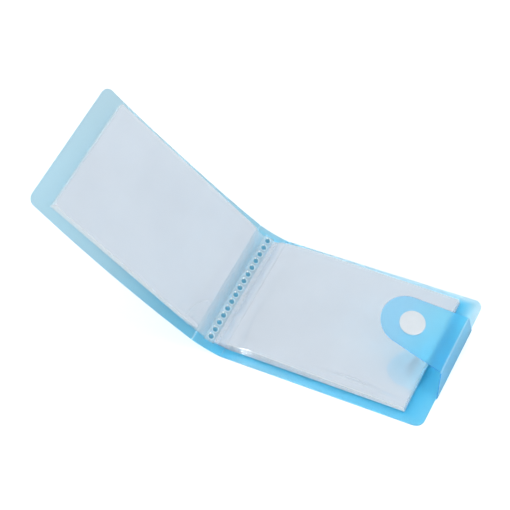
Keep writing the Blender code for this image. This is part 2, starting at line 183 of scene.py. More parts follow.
class FilmSettings(bpy.types.PropertyGroup):
    """Sizes and colours of the film pockets and their binding."""

    film: a_length("Film", "Thickness of one film", 0.08 * MM)
    bag: a_length("Pocket", "Pocket thickness", 0.44 * MM)
    rim: a_length("Rim", "Sealed rim thickness", 0.34 * MM)
    seam: a_length("Seam", "Width of the sealed rim", 1.8 * MM)
    cut: a_length("Cut", "Width of the trimmed edge", 0.1 * MM)
    lip: a_length("Lip", "Window film's setback", 1.0 * MM)
    lip_radius: a_length("Lip corner", "Radius of the mouth's corners", 3 * MM)
    mouth: a_length("Mouth", "Depth of the open mouth", 5 * MM)
    strip_width: a_length("Strip", "Width of the fused strip", 5.4 * MM)
    strip: a_length("Strip body", "Thickness of the fused strip", 1.8 * MM)
    lift: a_length("Seat", "Gap under the strip", 0.3 * MM)
    strip_shift: a_length("Strip shift", "Strip off the spine's middle, to the front", 0.8 * MM)
    fold_gap: a_length("Fold gap", "Bare fold between a leaf and its root", 0.2 * MM)
    welds: IntProperty(name="Welds", description="Spot welds along the spine", default=15, min=2)
    weld_radius: a_length("Weld", "Radius of a weld", 1.1 * MM)
    weld_margin: a_length("Weld margin", "Strip left beyond the last weld", 1.0 * MM)
    recess: a_length("Recess", "Welds below the strip", 0.5 * MM)
    haze: a_colour("Film colour", "Haze of the film", (0.72, 0.80, 0.89))
    fused: a_colour("Strip colour", "Fused film along the spine", (0.80, 0.92, 1.0))
    root: a_colour("Root colour", "Film between strip and left leaves", (0.69, 0.80, 0.89))
    sealed: a_colour("Lower colour", "Film of the lower leaves", (0.87, 0.93, 1.0))
    # Painted light: near-white for the glow along trimmed film edges and for the bright tip beside each
    # weld, a painted highlight.
    painted_glint: a_colour("Flash colour", "Trimmed edges and melted tips", (0.96, 0.98, 1.0))
    # Painted shade: the lowest right film is real, but its blue colour and its whole haze against falling
    # light darken the cover under the stack's near edge.
    shade: a_colour("Shade colour", "Lowest film, in the cover's shade", (0.40, 0.70, 0.90))
    bead: a_colour("Bead colour", "Melted film round a weld", (0.56, 0.79, 0.90))
    cover: a_share("Haze", "What one face of a top leaf hides", 0.6)
    lower_cover: a_share("Lower haze", "What one face of a lower leaf hides", 0.2)
    lowest_cover: a_share("Lowest haze", "What one face of the lowest right leaf hides", 0.5)
    root_cover: a_share("Root haze", "What one face of a left root film hides", 0.17)
    # Trimmed edges are nearly opaque so that their near-white shows as painted light.
    edge_cover: a_share("Edge haze", "What a trimmed edge hides", 0.85)
    top_edge_cover: a_share("Top edge haze", "What a top leaf's trimmed edge hides", 0.9)
    strip_cover: a_share("Strip haze", "What one face of the fused strip hides", 0.3)
    bead_cover: a_share("Bead haze", "What one face of a melted bead hides", 0.9)
    # The white tip beside each weld is a painted highlight.
    tip_cover: a_share("Tip haze", "What one face of a melted tip hides", 0.95)


class SnapSettings(bpy.types.PropertyGroup):
    """Sizes and colour of the press snap."""

    from_fold: a_length("From fold", "Snap axis from the tongue's fold", 21 * MM)
    cap_radius: a_length("Cap", "Cap radius", 5.9 * MM)
    cap: a_length("Cap body", "Cap thickness", 0.6 * MM)
    gap: a_length("Gap", "Gap to the sheet", 0.3 * MM)
    white: a_colour("Snap colour", "Moulded plastic", (0.71, 0.775, 0.83))


class StageSettings(bpy.types.PropertyGroup):
    """Camera, light and floor."""

    lens: FloatProperty(
        name="Lens", description="Focal length in millimetres", default=110.58, min=1, unit="CAMERA"
    )
    eye: FloatVectorProperty(
        name="Eye", description="Camera position", subtype="XYZ", size=3, unit="LENGTH",
        default=(0.26014, -0.30807, 0.60853),
    )
    floor: a_colour("Floor colour", "Pale floor", (0.71, 0.73, 0.77))
    lighten: a_share("Lighten", "How much whiter the floor looks to the eye", 0.5)
    sky: FloatProperty(name="Sky", description="Soft light from all round", default=0.87, min=0)
    key: a_power("Key", "Soft lamp from above", 1.5)
    sparkle: a_power("Sparkle", "Lamp that the films mirror", 20.0)
    glint: a_power("Glint", "Lamp that the near edge of the leaves mirrors", 7.0)


# Mesh tools

# The value the meshes give their points: painted light and shade in the cover's tint, painted shade in a
# leaf's haze, and a root film's haze from strip to leaf.
MARK = "painted_light_shade_and_haze_mark"


def line_path(start, angle, side):
    """A straight run in the XZ plane. place(u, w) lies u along it and w towards its inner side."""
    along = Vector((math.cos(angle), 0.0, math.sin(angle)))
    inward = Vector((-along.z, 0.0, along.x)) * side

    def place(u, w=0.0):
        return start + along * u + inward * w

    return place


def arc_path(start, first, last, length, side):
    """An even bend in the XZ plane, from the direction first to the direction last over length."""

    def place(u, w=0.0):
        half_turn = (last - first) * u / length / 2
        chord = u * math.sin(half_turn) / half_turn if half_turn else u
        middle = first + half_turn
        end = middle + half_turn
        along = Vector((math.cos(middle), 0.0, math.sin(middle)))
        inward = Vector((-math.sin(end), 0.0, math.cos(end))) * side
        return start + along * chord + inward * w

    return place


def bend(a, b, c, d, t):
    """A point of the smooth bend from a to d that b and c pull at, and the way it runs there."""
    s = 1 - t
    point = a * s**3 + b * (3 * t * s**2) + c * (3 * t**2 * s) + d * t**3
    way = (b - a) * s**2 + (c - b) * (2 * t * s) + (d - c) * t**2
    return point, way.normalized()


def smooth(t):
    """An even step from 0 to 1."""
    t = min(max(t, 0.0), 1.0)
    return t * t * (3 - 2 * t)


def grade(value, start, end):
    """An even step from 0 to 1 while a value runs from start to end."""
    return smooth((value - start) / (end - start))


def bell(t):
    """A soft bump of height 1."""
    return math.exp(-t * t)


def mound(u, y, place, spread):
    """A soft bump of height 1 at a place on a leaf."""
    return bell((u - place[0]) / spread[0]) * bell((y - place[1]) / spread[1])


def ripple(value, reach, phase=0.0):
    """A wave along a value, from crest to crest about six times its reach."""
    return math.sin(value / reach + phase)


def even(start, end, steps):
    """Evenly spaced values, both ends included."""
    return [start + (end - start) * k / steps for k in range(steps + 1)]


def along_y(y):
    """A way along the spine."""
    return Vector((0.0, y, 0.0))


def add_piece(name, bm, materials, angle=EDGE_ANGLE):
    """A shaded mesh object at the origin from world space geometry."""
    bmesh.ops.recalc_face_normals(bm, faces=bm.faces)
    mesh = bpy.data.meshes.new(name)
    bm.to_mesh(mesh)
    bm.free()
    for material in materials:
        mesh.materials.append(material)
    mesh.shade_smooth()
    mesh.set_sharp_from_angle(angle=math.radians(angle))
    piece = bpy.data.objects.new(name, mesh)
    bpy.context.scene.collection.objects.link(piece)
    return piece


def mark_layer(bm):
    """The values of the points that a material can read."""
    return bm.verts.layers.float.get(MARK) or bm.verts.layers.float.new(MARK)


def loft(rings, into=None, edges=(), caps=(0, 0), marks=None):
    """Closed skin between rings of points of the same count. Edge faces get the second material.

    Caps name the material of both ends, and marks give each ring a value that a material can read.
    """
    bm = into or bmesh.new()
    layer = mark_layer(bm)
    rows = [[bm.verts.new(point) for point in ring] for ring in rings]
    for row, mark in zip(rows, marks or []):
        for vert in row:
            vert[layer] = mark
    for row, following in zip(rows, rows[1:]):
        for k in range(len(row)):
            face = bm.faces.new((row[k - 1], row[k], following[k], following[k - 1]))
            face.material_index = 1 if k in edges else 0
    for row, cap in zip((rows[0], rows[-1]), caps):
        bm.faces.new(row).material_index = cap
    return bm


def mark_points(bm, value_at):
    """Give every point a value that a material can read."""
    layer = mark_layer(bm)
    for vert in bm.verts:
        vert[layer] = value_at(vert.co)


SHEET_EDGES = (0, COLUMNS + 1)


def sheet_rings(places, path, height_at, half, curl):
    """Rings round a sheet whose half height follows the distance along its path. Curl lifts it inwards."""
    rings = []
    for u in places:
        ys = even(-height_at(u), height_at(u), COLUMNS)
        lower = [path(u, curl(u, y) - half) + along_y(y) for y in ys]
        upper = [path(u, curl(u, y) + half) + along_y(y) for y in reversed(ys)]
        rings.append(lower + upper)
    return rings


def corner_places(end, radius):
    """Distances that follow the rounded corners at a panel's end."""
    return [end - radius + radius * math.sin(turn) for turn in even(0.0, math.pi / 2, CORNER_STEPS)]


def corner_height(half_height, end, radius):
    """Half the height of a panel whose corners at its far end are rounded."""

    def height_at(u):
        past = max(0.0, u - (end - radius))
        return half_height - radius + math.sqrt(max(radius**2 - past**2, 0.0))

    return height_at


def turned(profile, seat, axis, sides, closed=False):
    """A profile of (radius, height) points turned about an axis that rises from the seat."""
    bm = bmesh.new()
    rings = []
    for radius, height in profile:
        count = sides if radius > 0 else 1
        turns = [2 * math.pi * k / count for k in range(count)]
        rings.append([bm.verts.new((radius * math.cos(t), radius * math.sin(t), height)) for t in turns])
    pairs = list(zip(rings, rings[1:]))
    if closed:
        pairs.append((rings[-1], rings[0]))
    for ring, following in pairs:
        for k in range(sides):
            around = (ring[k - 1], ring[k]) if len(ring) > 1 else (ring[0],)
            back = (following[k], following[k - 1]) if len(following) > 1 else (following[0],)
            bm.faces.new(around + back)
    upright = Vector((0.0, 0.0, 1.0)).rotation_difference(axis).to_matrix()
    bmesh.ops.rotate(bm, verts=bm.verts, cent=(0.0, 0.0, 0.0), matrix=upright)
    bmesh.ops.translate(bm, verts=bm.verts, vec=seat)
    return bm


# Materials: scale and share of a tint's wander, then scale, strength and depth of the grain

SHEET_LOOK = ((60.0, 0.03), (2600.0, 0.25, 0.02 * MM))
FILM_LOOK = ((35.0, 0.025), (45.0, 0.12, 0.15 * MM))
SNAP_LOOK = ((300.0, 0.02), (4000.0, 0.2, 0.01 * MM))
LIGHT_SHARE = 0.35


def new_material(name):
    """An empty Principled material and its parts."""
    material = bpy.data.materials.new(name)
    material.use_nodes = True
    tree = material.node_tree
    return material, tree, tree.nodes["Principled BSDF"]


def give(node, values):
    """Set inputs of a node by name."""
    for name, value in values.items():
        node.inputs[name].default_value = value


def noise_on(tree, place, scale, detail):
    """Even noise over the surface."""
    noise = tree.nodes.new("ShaderNodeTexNoise")
    give(noise, {"Scale": scale, "Detail": detail})
    tree.links.new(place, noise.inputs["Vector"])
    return noise.outputs["Fac"]


def mark_value(tree):
    """The value that the mesh marks on its points."""
    mark = tree.nodes.new("ShaderNodeAttribute")
    mark.attribute_name = MARK
    return mark.outputs["Fac"]


def between(tree, value, low, high, start=0.0, end=1.0):
    """A colour between two, while a value runs from start to end."""
    ramp = tree.nodes.new("ShaderNodeValToRGB")
    for stop, position, colour in zip(ramp.color_ramp.elements, (start, end), (low, high)):
        stop.position = position
        stop.color = (*colour, 1.0)
    tree.links.new(value, ramp.inputs["Fac"])
    return ramp.outputs["Color"]


def tinted(tree, place, colour, scale, amount):
    """A colour that wanders a little over the surface."""
    darker = [channel * (1 - amount) for channel in colour]
    lighter = [min(channel * (1 + amount), 1.0) for channel in colour]
    return between(tree, noise_on(tree, place, scale, 3), darker, lighter, start=0.3, end=0.7)


def grain_bump(tree, place, scale, strength, distance):
    """A fine matt grain as a bump."""
    bump = tree.nodes.new("ShaderNodeBump")
    give(bump, {"Strength": strength, "Distance": distance})
    tree.links.new(noise_on(tree, place, scale, 4), bump.inputs["Height"])
    return bump.outputs["Normal"]


def combined(tree, operation, first, second):
    """Two values put together."""
    node = tree.nodes.new("ShaderNodeMath")
    node.operation = operation
    tree.links.new(first, node.inputs[0])
    tree.links.new(second, node.inputs[1])
    return node.outputs["Value"]


def either(tree, test, yes, no):
    """One value where a test is met and another where it is not."""
    choice = tree.nodes.new("ShaderNodeMapRange")
    give(choice, {"To Min": no, "To Max": yes})
    tree.links.new(test, choice.inputs["Value"])
    return choice.outputs["Result"]


def surface(name, colour, look, painted_light_colour=None):
    """A grained material whose colour wanders a little or, given a second colour, pales towards it where the
    mesh is marked: painted light.
    """
    wander, grain = look
    material, tree, shader = new_material(name)
    place = tree.nodes.new("ShaderNodeTexCoord").outputs["Object"]
    if painted_light_colour:
        tint = between(tree, mark_value(tree), colour, painted_light_colour)
    else:
        tint = tinted(tree, place, colour, *wander)
    tree.links.new(tint, shader.inputs["Base Color"])
    tree.links.new(grain_bump(tree, place, *grain), shader.inputs["Normal"])
    return material, tree, shader


def frosted_sheet(name, colour, transmission=0.93, roughness=0.5, painted_light_colour=None):
    """Translucent matt sheet: light passes through it, softened and tinted."""
    material, _, shader = surface(name, colour, SHEET_LOOK, painted_light_colour)
    give(shader, {"Roughness": roughness, "IOR": 1.12, "Transmission Weight": transmission})
    give(shader, {"Coat Weight": 0.6, "Coat Roughness": 0.3})
    return material


def light_share(tree, share):
    """One to the eye, and a share to the light that falls through: haze scatters more than it stops."""
    path = tree.nodes.new("ShaderNodeLightPath")
    lit = combined(tree, "MAXIMUM", path.outputs["Is Shadow Ray"], path.outputs["Is Diffuse Ray"])
    return either(tree, lit, share, 1.0)


def clear_film(
    name, colour, cover, roughness=0.06, index=2.9, mirror=0.2, thin=None, full=1.0, share=LIGHT_SHARE
):
    """Glossy clear film with a slight haze that hides as much as cover says.

    With thin, the haze falls to that value as the marks of the mesh fall from full to nothing.
    """
    material, tree, shader = surface(name, colour, FILM_LOOK)
    give(shader, {"Roughness": roughness, "IOR": index, "Metallic": mirror, "Alpha": cover})
    spread = tree.nodes.new("ShaderNodeMapRange")
    spread.interpolation_type = "SMOOTHSTEP"
    give(spread, {"From Max": full, "To Min": cover if thin is None else thin, "To Max": cover})
    tree.links.new(mark_value(tree), spread.inputs["Value"])
    hidden = combined(tree, "MULTIPLY", spread.outputs["Result"], light_share(tree, share))
    tree.links.new(hidden, shader.inputs["Alpha"])
    return material


def moulded_plastic(name, colour):
    """White moulded plastic with a soft sheen and a faint grain."""
    material, _, shader = surface(name, colour, SNAP_LOOK)
    give(shader, {"Roughness": 0.42, "IOR": 1.46})
    return material


# Cover

EDGE, JOINT = 1, 2
JOINT_CLEAR = 0.97
CREASE_ROOM = 0.01 * MM
CURL, CURL_SPREAD = 0.9 * MM, 30 * MM
TONGUE_TIP = math.radians(88)

# Painted light and shade in the tint of the sheet: 0 keeps its full depth, painted shade where the stack and
# the tongue shade it, and 1 its palest, painted light

FRONT_FOOT, FRONT_RISE, FRONT_RUN = 0.055, 0.48, 64 * MM
FRONT_ALONG, FRONT_ACROSS, FRONT_RIM = 0.08, 0.037, 0.3
WALL_PALE, SPINE_RIM, FAR_RIM, FORE_RIM = 0.6, 0.45, 0.6, 0.2
NEAR_FOOT, NEAR_RISE, NEAR_FALL = 0.1, 0.35, 0.25
NEAR_INSET, NEAR_RUN = 1 * MM, 12 * MM


def panel_paths(cover):
    """The middle line of each cover panel."""
    spine_ends = (math.pi - cover.spine_slope_start, math.pi - cover.spine_slope_end)
    front_ends = (math.pi - cover.front_slope_start, math.pi - cover.front_slope_end)
    front_width = COVER_WIDTH - cover.front_shorter
    return {
        "back": line_path(BACK_CREASE, 0.0, 1),
        "spine": arc_path(BACK_CREASE, *spine_ends, cover.spine_width, -1),
        "front": arc_path(FRONT_CREASE, *front_ends, front_width, -1),
        "wall": line_path(FLAP_CREASE, WALL_ANGLE, 1),
        "tongue": line_path(TONGUE_CREASE, math.pi - cover.tongue_rise, 1),
    }


def painted_light_share(panel, point):
    """Painted light in a panel's tint: paler on the front away from its crease, at the rims that catch light
    from the table, and on the tongue past its fold; the deep tint is painted shade.
    """
    far = grade(point.y, LEAF_HALF, HALF_HEIGHT)
    if panel == "front":
        away = math.hypot(point.x - FRONT_CREASE.x, point.z - FRONT_CREASE.z)
        rise = grade(away, 0.0, FRONT_RUN)
        across = FRONT_ACROSS * point.y / HALF_HEIGHT + FRONT_RIM * far * (1 - rise)
        return FRONT_FOOT + FRONT_RISE * rise + FRONT_ALONG * away / COVER_WIDTH + across
    if panel == "wall":
        return WALL_PALE
    # The tongue pales past its fold as painted light, where it leaves the cover for the page.
    if panel == "tongue":
        return grade(TONGUE_CREASE.x - point.x, 2 * MM, 6.5 * MM)
    if panel == "spine":
        return SPINE_RIM * far
    near = grade(-point.y, LEAF_HALF - NEAR_INSET, HALF_HEIGHT - NEAR_INSET)
    near *= (
        NEAR_FOOT
        + NEAR_RISE * grade(point.x, BACK_CREASE.x, BACK_CREASE.x + NEAR_RUN)
        - NEAR_FALL * grade(point.x, -40 * MM, 30 * MM)
    )
    far *= FAR_RIM + (1 - FAR_RIM) * grade(point.x, -55 * MM, -25 * MM)
    fore = grade(point.x, LEAF_TIP, FLAP_CREASE.x)
    fore *= FORE_RIM + (1 - FORE_RIM) * grade(point.y, -5 * MM, 31 * MM)
    return max(far, near, fore)


def flat(u, y):
    """No curl at all."""
    return 0.0


def front_curl(u, y):
    """How far the front cover's far margin curls towards the leaves."""
    return CURL * grade(y, LEAF_HALF, HALF_HEIGHT) * bell((u - COVER_WIDTH / 2) / CURL_SPREAD)


def flap_height(cover, u):
    """Half the flap wall's height at a distance from its foot."""
    return (cover.flap_base + (cover.flap_fold - cover.flap_base) * u / WALL_HEIGHT) / 2


def tongue_outline(cover):
    """Where the tongue's straight side runs into its round end, and half its height along the way."""
    centre = cover.tongue_length - cover.tongue_radius
    half_fold = cover.flap_fold / 2
    lean = math.asin(cover.tongue_radius / math.hypot(centre, half_fold)) - math.atan2(half_fold, centre)
    tangent = centre - cover.tongue_radius * math.sin(lean)
    tangent_half = cover.tongue_radius * math.cos(lean)

    def height_at(u):
        if u <= tangent:
            return half_fold + (tangent_half - half_fold) * u / tangent
        return math.sqrt(max(cover.tongue_radius**2 - (u - centre) ** 2, 0.0))

    turns = even(-lean, TONGUE_TIP, TONGUE_STEPS)
    return [centre + cover.tongue_radius * math.sin(turn) for turn in turns], height_at


class ALBUM_OT_cover(bpy.types.Operator):
    """Build the five panels of the frosted cover"""

    bl_idname = "album.cover"
    bl_label = "Cover Panels"

    def execute(self, context):
        cover = context.scene.album_cover
        # Sheet and flap pale towards their second colour where the mesh is marked: painted light.
        sheet = frosted_sheet("frosted_sheet", cover.tint, painted_light_colour=cover.painted_light_tint)
        flap = frosted_sheet("flap_sheet", cover.flap_tint, painted_light_colour=cover.tongue_painted_light_tint)
        edge = frosted_sheet("cut_edge", cover.rim_tint, transmission=0.6, roughness=0.4)
        flap_edge = frosted_sheet("flap_edge", cover.edge_tint, transmission=0.3, roughness=0.4)
        joint = frosted_sheet("panel_face", cover.painted_light_tint, transmission=JOINT_CLEAR)
        covers, flaps = (sheet, edge, joint), (flap, flap_edge, joint)
        paths = panel_paths(cover)
        start = cover.crease
        half = cover.sheet / 2
        tongue_places, tongue_height = tongue_outline(cover)
        outlines = {
            "spine": (even(start, cover.spine_width - start, SPINE_STEPS), lambda u: HALF_HEIGHT),
            "wall": (even(start, WALL_HEIGHT - start, WALL_STEPS), lambda u: flap_height(cover, u)),
            "tongue": ([start] + tongue_places, tongue_height),
        }
        ends = (("back", start, BACK_STEPS), ("front", cover.front_shorter, FRONT_STEPS))
        for name, setback, steps in ends:
            end = COVER_WIDTH - setback
            places = even(start, end - cover.corner, steps)[:-1] + corner_places(end, cover.corner)
            outlines[name] = (places, corner_height(HALF_HEIGHT, end, cover.corner))
        panels = {
            "back": ("back_cover", covers, EDGE),
            "spine": ("spine_panel", covers, JOINT),
            "front": ("front_cover", covers, EDGE),
            "wall": ("flap_wall", flaps, JOINT),
            "tongue": ("flap_tongue", flaps, EDGE),
        }
        for name, (node, tints, end_cap) in panels.items():
            body = BODIES[name]
            curl = front_curl if name == "front" else flat
            places, height_at = outlines[name]
            rings = sheet_rings(places, paths[name], height_at, half, curl)
            bm = loft(rings, edges=SHEET_EDGES, caps=(JOINT, end_cap))
            # Marks of painted light and shade in the sheet's tint
            mark_points(bm, lambda point: painted_light_share(name, point))
            piece = add_piece(f"{name}_sheet", bm, tints)
            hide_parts(node)
            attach(piece, body)
        return {"FINISHED"}


class ALBUM_OT_creases(bpy.types.Operator):
    """Build the coined creases that the cover folds on"""

    bl_idname = "album.creases"
    bl_label = "Creases"

    def execute(self, context):
        cover = context.scene.album_cover
        pale = frosted_sheet("pale_crease", cover.crease_tint, transmission=0.6, roughness=0.3)
        plain = frosted_sheet("plain_crease", cover.rim_tint)
        joint = frosted_sheet("crease_face", cover.painted_light_tint, transmission=JOINT_CLEAR)
        paths = panel_paths(cover)
        reach = cover.crease - CREASE_ROOM
        half = cover.sheet / 2
        creases = {
            "back_crease": ("back", 0.0, "spine", HALF_HEIGHT, plain),
            "front_crease": ("spine", cover.spine_width, "front", HALF_HEIGHT, pale),
            "flap_crease": ("back", COVER_WIDTH, "wall", cover.flap_base / 2, plain),
            "tongue_crease": ("wall", WALL_HEIGHT, "tongue", cover.flap_fold / 2, pale),
        }
        for name, (before, at, after, height, tint) in creases.items():
            inner = reach if at == 0.0 else at - reach
            first = paths[before](inner)
            first_in = (paths[before](inner, 1.0) - first).normalized()
            last = paths[after](reach)
            last_in = (paths[after](reach, 1.0) - last).normalized()
            fold = paths[after](0.0)
            rise = along_y(height)
            rings = []
            for t in even(0.0, 1.0, CREASE_STEPS):
                middle = first * (1 - t) ** 2 + fold * (2 * t * (1 - t)) + last * t**2
                inward = (first_in * (1 - t) + last_in * t).normalized()
                thick = half - (half - cover.coined / 2) * math.sin(math.pi * t)
                low = middle - inward * half
                high = middle + inward * (2 * thick - half)
                rings.append((low - rise, low + rise, high + rise, high - rise))
            piece = add_piece(name, loft(rings, caps=(1, 1)), (tint, joint))
            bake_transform(piece)
        return {"FINISHED"}


# Snap

CAP_ROOM = 0.02 * MM
CAP_RIM, CAP_DOME, CAP_BEVEL = 0.45 * MM, 0.25 * MM, 0.1 * MM
POST_RADIUS, SOCKET_POST, STUD_POST = 1.3 * MM, 1.4 * MM, 1.7 * MM


def snap_seats(cover, snap):
    """Seat and facing of the socket on the tongue and of the stud on the front cover."""
    paths = panel_paths(cover)
    seats = {}
    for name, along, way in (("tongue", snap.from_fold, 1), ("front", COVER_WIDTH - snap.from_fold, -1)):
        seat = paths[name](along)
        seats[name] = (seat, (paths[name](along, way) - seat).normalized())
    return seats


class ALBUM_OT_snap(bpy.types.Operator):
    """Build both halves of the press snap"""

    bl_idname = "album.snap"
    bl_label = "Press Snap"

    def execute(self, context):
        cover = context.scene.album_cover
        snap = context.scene.album_snap
        white = moulded_plastic("snap_white", snap.white)
        base = cover.sheet / 2 + snap.gap
        under = -cover.sheet / 2 - CAP_ROOM
        side = under - snap.cap
        inner = snap.cap_radius - CAP_RIM
        crown = [(inner * t, side - CAP_DOME * (1 - t * t)) for t in even(0.0, 1.0, CROWN_STEPS)]
        edge = [
            (inner + CAP_RIM * math.sin(turn), side + CAP_RIM - CAP_RIM * math.cos(turn))
            for turn in even(math.pi / 14, math.pi / 2, RIM_STEPS)
        ]
        foot = [(snap.cap_radius, under - CAP_BEVEL), (snap.cap_radius - CAP_BEVEL, under)]
        seats = snap_seats(cover, snap)
        parts = {
            "flap": ("tongue", base + SOCKET_POST, "snap_cap_flap", "flap_tongue_body"),
            "cover": ("front", base + STUD_POST, "snap_cap_cover", "front_cover_body"),
        }
        for name, (panel, post_end, node, body) in parts.items():
            post = [(POST_RADIUS, under), (POST_RADIUS, post_end), (0.0, post_end)]
            bm = turned(crown + edge + foot + post, *seats[panel], CAP_SIDES)
            piece = add_piece(f"snap_cap_{name}_piece", bm, (white,), SOFT_ANGLE)
            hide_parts(node)
            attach(piece, body)
        for node in ("snap_socket", "snap_stud"):
            frame["nodes"][node].data.materials.clear()
            frame["nodes"][node].data.materials.append(white)
        return {"FINISHED"}


# Slack of the leaves: heights of its forms, and where they lie along and across a leaf

ROLL, BOW, SINK, DENT, FOLD, SWELL = 0.10 * MM, 0.12 * MM, 1.6 * MM, 0.14 * MM, 0.5 * MM, 1.4 * MM
CALM_ENDS, CALM_FORE, CALM_DENT, SINK_RUN = 3 * MM, 4 * MM, 2 * MM, 15 * MM
DENT_PLACE, DENT_SPREAD = 5 * MM, 2.4 * MM
FOLD_PLACE, FOLD_SPREAD = (68 * MM, 4.6 * MM - LEAF_HALF), (18 * MM, 1.3 * MM)
SWELL_PLACE, SWELL_SPREAD = (60 * MM, -16 * MM), (24 * MM, 19 * MM)

# Painted shade: where a film's haze is thinned so that it shows darker along the lower fold and near the
# gutter, and by how much

LEFT_SHADE, LEFT_SPREAD = 0.55, 13 * MM
FOLD_SHADE, SHADE_PLACE, SHADE_SPREAD = 0.4, (64 * MM, 4.2 * MM - LEAF_HALF), (16 * MM, 1.1 * MM)
ROOT_SHADE, ROOT_PLACE, ROOT_SPREAD = 0.15, 7 * MM, 1.3 * MM

# The sealed rim and the open mouth of a pocket

SEAL_LINES, SEAL_SPREAD, SEAL_DEPTH = (0.9 * MM, 1.5 * MM), 0.16 * MM, 0.07 * MM
EDGE_SHARE, EDGE_ROUND, PUFF_RUN = 0.4, 0.35 * MM, 5 * MM
LIP_FILMS, ROOF_FILMS, LIP_RUN, MOUTH_RUN = 2.6, 0.6, 7 * MM, 4 * MM
EDGE_STEPS = (0.0, 0.12, 0.24, 0.36, 0.6, 0.75, 0.9, 1.05, 1.3, 1.5, 1.7, 2.1, 2.8)
EDGE_STEPS += (3.3, 3.7, 4.0, 4.3, 4.6, 4.9, 5.3, 5.9, 7.4, 9.5)


def leaf_frame(side, number):
    """Root, direction, upward way and length of a leaf, from its packed back film."""
    low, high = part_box(f"leaf_{side}_{number:02d}_back")
    word = "turn" if side == "left" else "lift"
    root = PIVOTS[f"{side}_leaf_{number:02d}_{word}"]
    if side == "right":
        tip = Vector((high.x, 0.0, low.z))
    else:
        tip = Vector((low.x, 0.0, high.z))
    along = tip - root
    length = along.length
    along.normalize()
    upward = Vector((-along.z, 0.0, along.x)) * (1 if side == "right" else -1)
    return root, along, upward, length


def leaf_wave(side, number, u, y, length):
    """How far a leaf's slack film stands off its flat place. The lower leaves lie flatter."""
    edge = LEAF_HALF - abs(y)
    calm = grade(edge, 0.0, CALM_ENDS) * grade(length - u, 0.0, CALM_FORE)
    roll = ROLL * ripple(u, 13 * MM, 0.6) * ripple(y, 16 * MM, 0.4)
    if side == "left":
        wave = calm * (roll + BOW * ripple(u, 21 * MM))
    else:
        sink = -SINK * (1 - grade(u, 0.0, SINK_RUN))
        wander = u - DENT_PLACE - 1 * MM * ripple(y, 8 * MM)
        dent = -DENT * bell(wander / DENT_SPREAD) * (0.5 + 0.5 * ripple(y, 6 * MM, 1.0))
        fold = -FOLD * mound(u, y, FOLD_PLACE, FOLD_SPREAD)
        swell = SWELL * mound(u, y, SWELL_PLACE, SWELL_SPREAD)
        wave = sink + dent * grade(edge, 0.0, CALM_DENT) + calm * (roll + fold + swell)
    return wave * (LEAVES - number + 1) / LEAVES


def painted_shade_haze(side, u, y):
    """How much of its haze a leaf's film keeps: thinned as painted shade along the lower fold and near the
    gutter.
    """
    if side == "left":
        return 1 - LEFT_SHADE * bell(u / LEFT_SPREAD) * grade(y, 12 * MM, -36 * MM)
    fold = mound(u, y - 0.4 * MM * ripple(u, 9 * MM), SHADE_PLACE, SHADE_SPREAD)
    from_root = u - ROOT_PLACE - 1.4 * MM * ripple(y, 7 * MM)
    gutter_shade = bell(from_root / ROOT_SPREAD) * grade(y, 4 * MM, -16 * MM)
    return 1 - FOLD_SHADE * fold - ROOT_SHADE * gutter_shade


def seam_height(film, inside):
    """Height of the window film over the back film at a distance from the sealed edge."""
    edge = film.rim * (EDGE_SHARE + (1 - EDGE_SHARE) * grade(inside, 0.0, EDGE_ROUND))
    puff = (film.bag - film.rim) * grade(inside, film.seam, film.seam + PUFF_RUN)
    groove = SEAL_DEPTH * sum(bell((inside - line) / SEAL_SPREAD) for line in SEAL_LINES)
    return edge + puff - groove


def window_height(film, past_lip, inside):
    """Height of the window film, which settles towards the back film at its open lip."""
    settled = LIP_FILMS * film.film
    return settled + (seam_height(film, inside) - settled) * grade(past_lip, 0.0, LIP_RUN)


def leaf_mesh(film, side, number):
    """A pocket: back film and window film sealed on three sides, open towards the gutter."""
    root, along, upward, length = leaf_frame(side, number)
    near = [step * MM for step in EDGE_STEPS]
    half_steps = near + even(near[-1], LEAF_HALF, ACROSS_STEPS)[1:]
    stations = [-LEAF_HALF + step for step in half_steps]
    stations += [LEAF_HALF - step for step in reversed(half_steps[:-1])]
    fore = [length - step for step in near]
    mouth_end = film.mouth + MOUTH_RUN
    middle = even(fore[-1], mouth_end, WINDOW_STEPS)[1:]
    floor = film.film / 2

    def place(u, y, w):
        return root + along * u + upward * (w + leaf_wave(side, number, u, y, length)) + along_y(y)

    rings = []
    for y in stations:
        edge = LEAF_HALF - abs(y)
        past = max(0.0, film.lip_radius - edge)
        lip = film.lip + film.lip_radius - math.sqrt(film.lip_radius**2 - past**2)
        window = fore + middle + even(mouth_end, lip, MOUTH_STEPS)[1:]
        ring = [place(u, y, -floor) for u in even(0.0, length, FILM_STEPS)]
        ring += [place(u, y, window_height(film, u - lip, min(edge, length - u))) for u in window]
        roof = window_height(film, 0.0, edge) - ROOF_FILMS * film.film
        ring += [place(lip, y, roof), place(film.mouth, y, roof)]
        ring += [place(film.mouth, y, floor), place(lip, y, floor), place(0.0, y, floor)]
        rings.append(ring)
    bm = loft(rings)
    # Painted shade: the haze thins along the lower fold and near the gutter
    mark_points(bm, lambda point: painted_shade_haze(side, (point - root).dot(along), point.y))
    for face in bm.faces:
        centre = face.calc_center_median()
        end = LEAF_HALF - abs(centre.y)
        fore = length - (centre - root).dot(along)
        face.material_index = 2 if end < film.cut else int(min(end, fore) < film.seam)
    return bm


